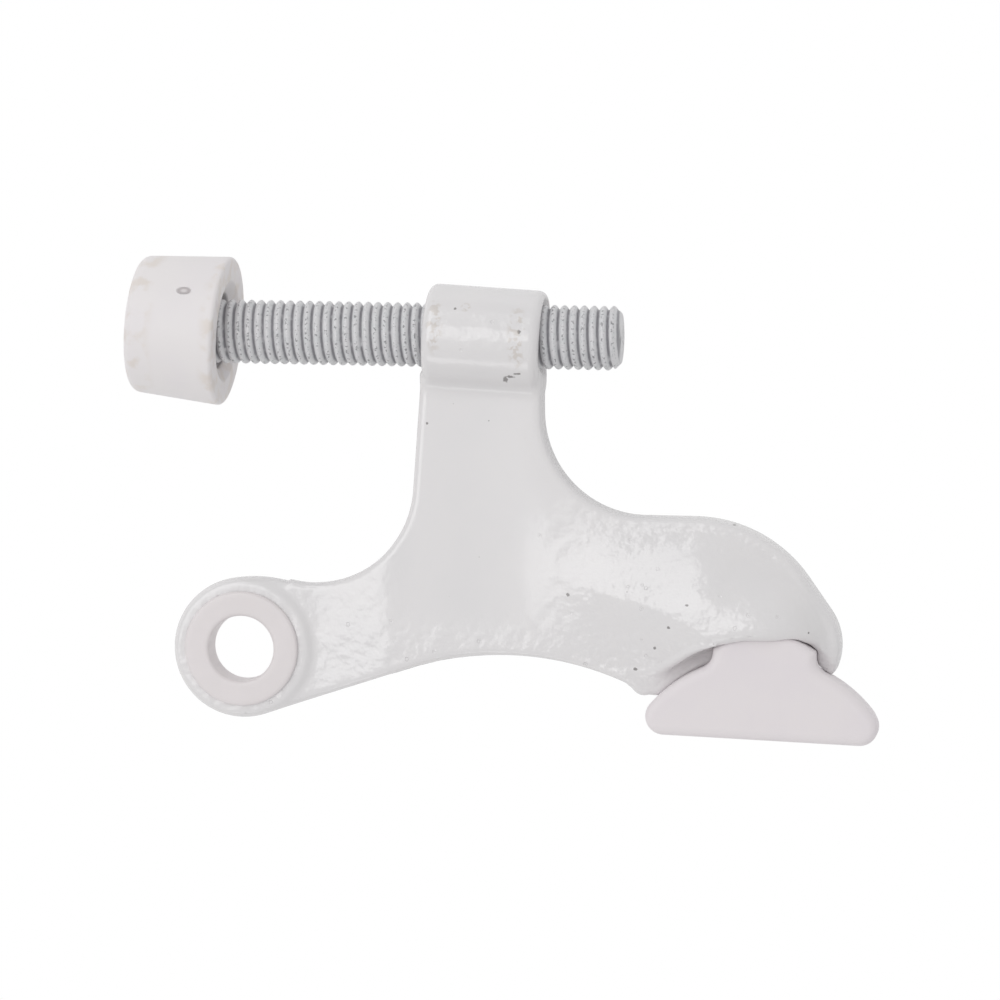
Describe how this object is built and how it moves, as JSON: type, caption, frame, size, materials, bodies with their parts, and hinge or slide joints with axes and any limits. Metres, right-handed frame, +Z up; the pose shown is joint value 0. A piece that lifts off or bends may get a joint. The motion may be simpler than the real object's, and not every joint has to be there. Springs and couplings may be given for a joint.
{
  "type": "hinge-pin door stop",
  "caption": "Cast arm that hangs on a door's hinge pin, with a screw-adjusted soft bumper for the wall side and a soft pad for the door.",
  "frame": {"origin": "on the hinge-pin axis, in the middle plane of the arm", "axes": "+Z up the hinge pin, +X along the adjusting screw towards its free end, +Y from the hinge pin to the screw"},
  "size_m": [0.0957, 0.0593, 0.0189],
  "materials": {
    "white_paint": "gloss white paint on a die casting, with slight orange peel",
    "bushing_plastic": "smooth white moulded plastic",
    "painted_thread": "thin grey-white paint, speckled along the thread",
    "bumper_vinyl": "soft matte white vinyl",
    "pad_vinyl": "soft matte white vinyl"
  },
  "bodies": {
    "arm": {"arm": "white_paint", "hinge_bushing": "bushing_plastic", "door_pad": "pad_vinyl"},
    "bumper": {"wall_bumper": "bumper_vinyl"},
    "screw": {"adjusting_screw": "painted_thread"}
  },
  "joints": [
    {"name": "screw_travel", "type": "slide", "parent": "arm", "child": "bumper", "axis": [1, 0, 0], "range_m": [-0.0095, 0.0245]},
    {"name": "screw_turn", "type": "hinge", "parent": "bumper", "child": "screw", "pos_m": [0, 0.0402, 0], "axis": [1, 0, 0], "range_deg": [-2750, 7070]}
  ],
  "couplings": [
    {"joint": "screw_turn", "follows": "screw_travel", "rad_per_m": 5026.5}
  ]
}
